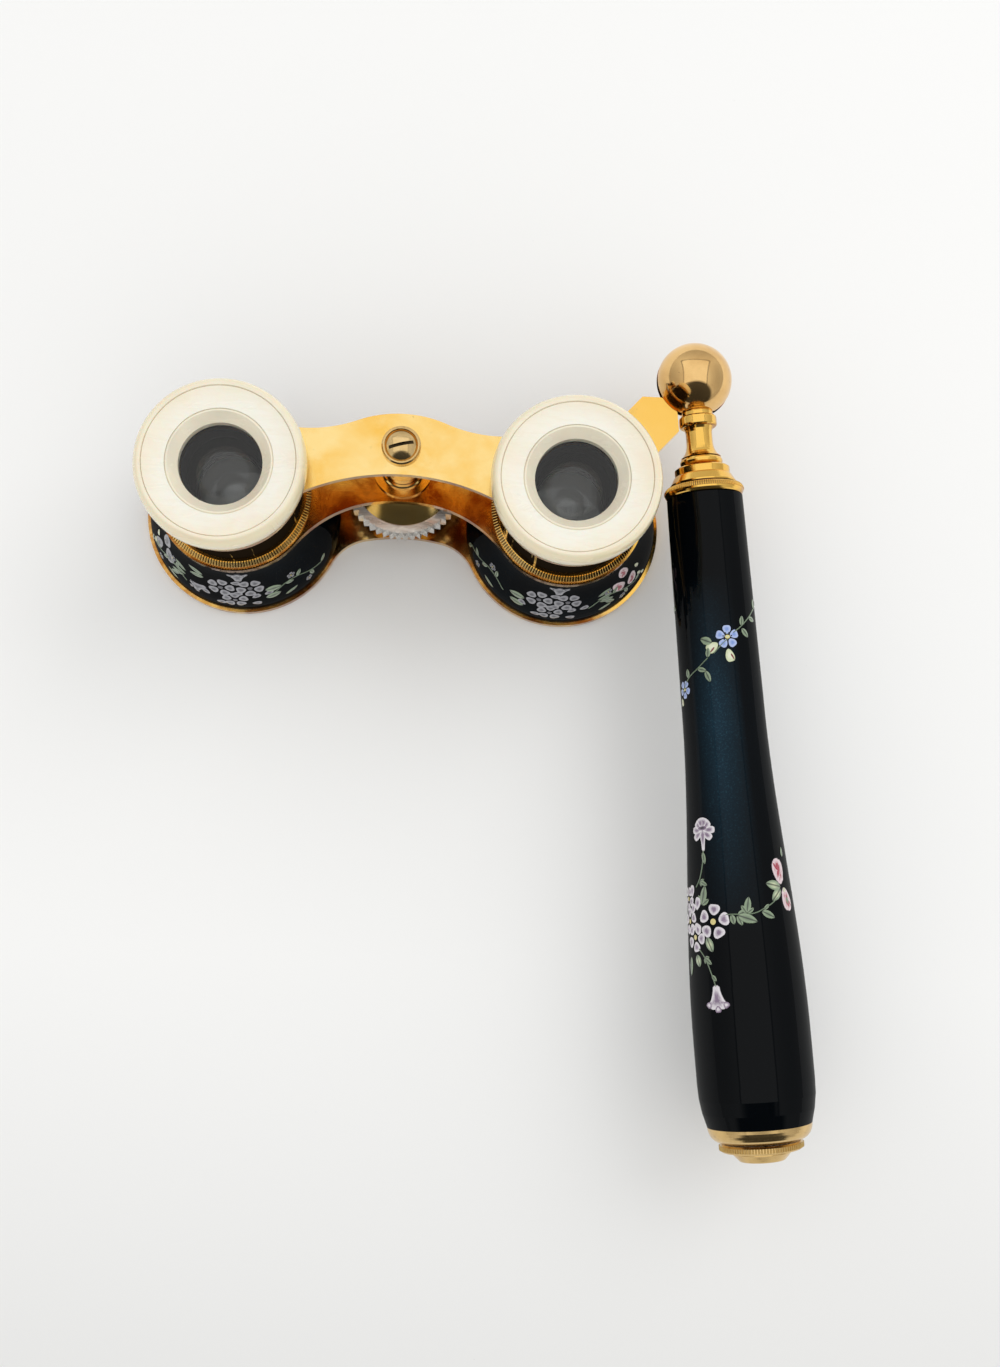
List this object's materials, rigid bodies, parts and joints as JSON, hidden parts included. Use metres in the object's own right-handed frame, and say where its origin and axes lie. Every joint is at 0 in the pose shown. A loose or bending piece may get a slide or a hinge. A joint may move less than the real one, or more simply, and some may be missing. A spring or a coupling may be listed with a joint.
{
  "type": "opera glasses",
  "caption": "Gilt and dark-enamel opera glasses with pearl eyecups, a centre focus wheel and a folding, telescoping side handle.",
  "frame": {"origin": "underside of the lower bridge, which is the plane the glasses stand on, midway between the two optical axes", "axes": "+Z along the optical axes towards the eyes, +X from the left barrel to the right one, +Y away from the rest position of the handle"},
  "size_m": [0.1274, 0.149, 0.0448],
  "materials": {
    "gilt_brass": "polished gilt",
    "antique_brass": "polished, slightly tarnished",
    "navy_enamel": "glossy translucent enamel",
    "mother_of_pearl": "polished shell",
    "grey_pearl": "polished shell",
    "optical_glass": "polished",
    "blackened_brass": "matt black lacquer",
    "bright_steel": "drawn"
  },
  "bodies": {
    "frame": {"lower_bridge": "gilt_brass", "middle_bridge": "gilt_brass", "barrel_tube_left": "gilt_brass", "barrel_tube_right": "gilt_brass", "enamel_sleeve_left": "navy_enamel", "enamel_sleeve_right": "navy_enamel", "collar_ring_left": "gilt_brass", "collar_ring_right": "gilt_brass", "objective_cell_left": "gilt_brass", "objective_cell_right": "gilt_brass", "objective_lens_left": "optical_glass", "objective_lens_right": "optical_glass", "objective_ring_left": "blackened_brass", "objective_ring_right": "blackened_brass", "column_collar": "gilt_brass", "column_foot": "gilt_brass"},
    "focus_wheel": {"wheel_rim": "mother_of_pearl", "wheel_hub": "gilt_brass", "wheel_cap_top": "gilt_brass", "wheel_cap_low": "gilt_brass"},
    "eyepiece_frame": {"upper_bridge": "gilt_brass", "focus_spindle": "gilt_brass", "spindle_washer": "gilt_brass", "spindle_screw": "antique_brass", "draw_tube_left": "gilt_brass", "draw_tube_right": "gilt_brass", "eyepiece_cell_left": "gilt_brass", "eyepiece_cell_right": "gilt_brass", "eyecup_left": "mother_of_pearl", "eyecup_right": "mother_of_pearl", "eyecup_insert_left": "grey_pearl", "eyecup_insert_right": "grey_pearl", "eye_lens_left": "optical_glass", "eye_lens_right": "optical_glass", "eye_lens_ring_left": "blackened_brass", "eye_lens_ring_right": "blackened_brass"},
    "handle_head": {"hinge_ball": "antique_brass", "hinge_pin": "bright_steel", "handle_neck": "gilt_brass", "handle_shoulder": "gilt_brass", "inner_tube": "bright_steel", "inner_tube_foot": "gilt_brass"},
    "grip": {"top_ferrule": "gilt_brass", "grip_enamel": "navy_enamel", "grip_liner": "bright_steel", "bottom_cap": "antique_brass"},
    "lock_knob": {"knob_ring": "antique_brass", "knob_button": "antique_brass", "lock_rod": "bright_steel", "lock_expander": "gilt_brass"}
  },
  "joints": [
    {"name": "focus_turn", "type": "hinge", "parent": "frame", "child": "focus_wheel", "pos_m": [0, 0.006, 0.0115], "axis": [0, 0, 1], "range_deg": [-120, 360]},
    {"name": "eyepiece_slide", "type": "slide", "parent": "frame", "child": "eyepiece_frame", "axis": [0, 0, 1], "range_m": [-0.009, 0.003]},
    {"name": "handle_swing", "type": "hinge", "parent": "frame", "child": "handle_head", "pos_m": [0.05359, 0.02564, 0.0193], "axis": [0, 0, 1], "range_deg": [0, 263.6]},
    {"name": "handle_extend", "type": "slide", "parent": "handle_head", "child": "grip", "axis": [0.108, -0.9942, 0], "range_m": [0, 0.06]},
    {"name": "lock_knob_turn", "type": "hinge", "parent": "grip", "child": "lock_knob", "pos_m": [0.06869, -0.11344, 0.0193], "axis": [0.108, -0.9942, 0], "range_deg": [0, 180]}
  ],
  "couplings": [
    {"joint": "focus_turn", "follows": "eyepiece_slide", "rad_per_m": -698.13}
  ]
}
